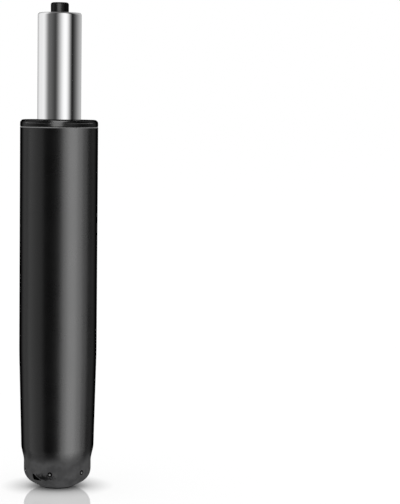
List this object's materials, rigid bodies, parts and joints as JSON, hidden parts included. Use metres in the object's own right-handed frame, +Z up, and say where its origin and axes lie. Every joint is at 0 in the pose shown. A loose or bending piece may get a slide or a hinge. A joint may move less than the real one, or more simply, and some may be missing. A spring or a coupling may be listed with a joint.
{
  "type": "chair gas lift cylinder",
  "caption": "Self-locking chair gas lift: black tapered stand tube with a plastic guide bush, a chromed pressure tube that lifts and turns, and a release button on top.",
  "frame": {"origin": "centre of the flat rim at the bottom of the stand tube, on the floor", "axes": "+Z up along the column, -Y the side that the picture shows, +X to the right of it"},
  "size_m": [0.05, 0.05, 0.3125],
  "materials": {
    "black_paint": "satin black stoved paint",
    "chrome": "polished hard chrome",
    "black_plastic": "moulded satin black",
    "button_plastic": "moulded semi-gloss black",
    "steel": "turned and ground",
    "dark_steel": "spring steel, oiled black",
    "aluminium": "turned",
    "brass": "turned",
    "rubber": "matte"
  },
  "bodies": {
    "stand": {"stand_tube": "black_paint", "guide_bush": "black_plastic", "bearing_seat": "steel", "lower_race": "steel"},
    "cage": {"ball_cage": "brass", "bearing_balls": "steel"},
    "rod": {"piston_rod": "steel", "piston": "aluminium", "piston_seal": "rubber", "piston_nut": "steel", "upper_race": "steel", "load_washer": "steel", "bump_stop": "rubber", "clip_washer": "steel", "retaining_clip": "dark_steel"},
    "gas_cylinder": {"pressure_tube": "chrome", "rod_guide": "brass", "rod_seal": "rubber", "seal_washer": "steel", "cylinder_seat": "black_plastic", "inner_cylinder": "steel", "valve_body": "aluminium", "tube_seal_ring": "rubber", "liner_seal_ring": "rubber", "pin_seals": "rubber", "seal_spacer": "brass", "button_guide": "black_plastic"},
    "release": {"valve_pin": "steel", "release_button": "button_plastic"}
  },
  "joints": [
    {"name": "swivel", "type": "hinge", "parent": "stand", "child": "rod", "pos_m": [0, 0, 0.012], "axis": [0, 0, 1], "continuous": true},
    {"name": "cage_turn", "type": "hinge", "parent": "stand", "child": "cage", "pos_m": [0, 0, 0.012], "axis": [0, 0, 1], "continuous": true},
    {"name": "lift", "type": "slide", "parent": "rod", "child": "gas_cylinder", "axis": [0, 0, 1], "range_m": [0, 0.13]},
    {"name": "button_press", "type": "slide", "parent": "gas_cylinder", "child": "release", "axis": [0, 0, -1], "range_m": [0, 0.003], "stiffness_N_per_m": 2500, "springref_m": -0.0015}
  ],
  "couplings": [
    {"joint": "cage_turn", "follows": "swivel", "ratio": 0.5}
  ]
}
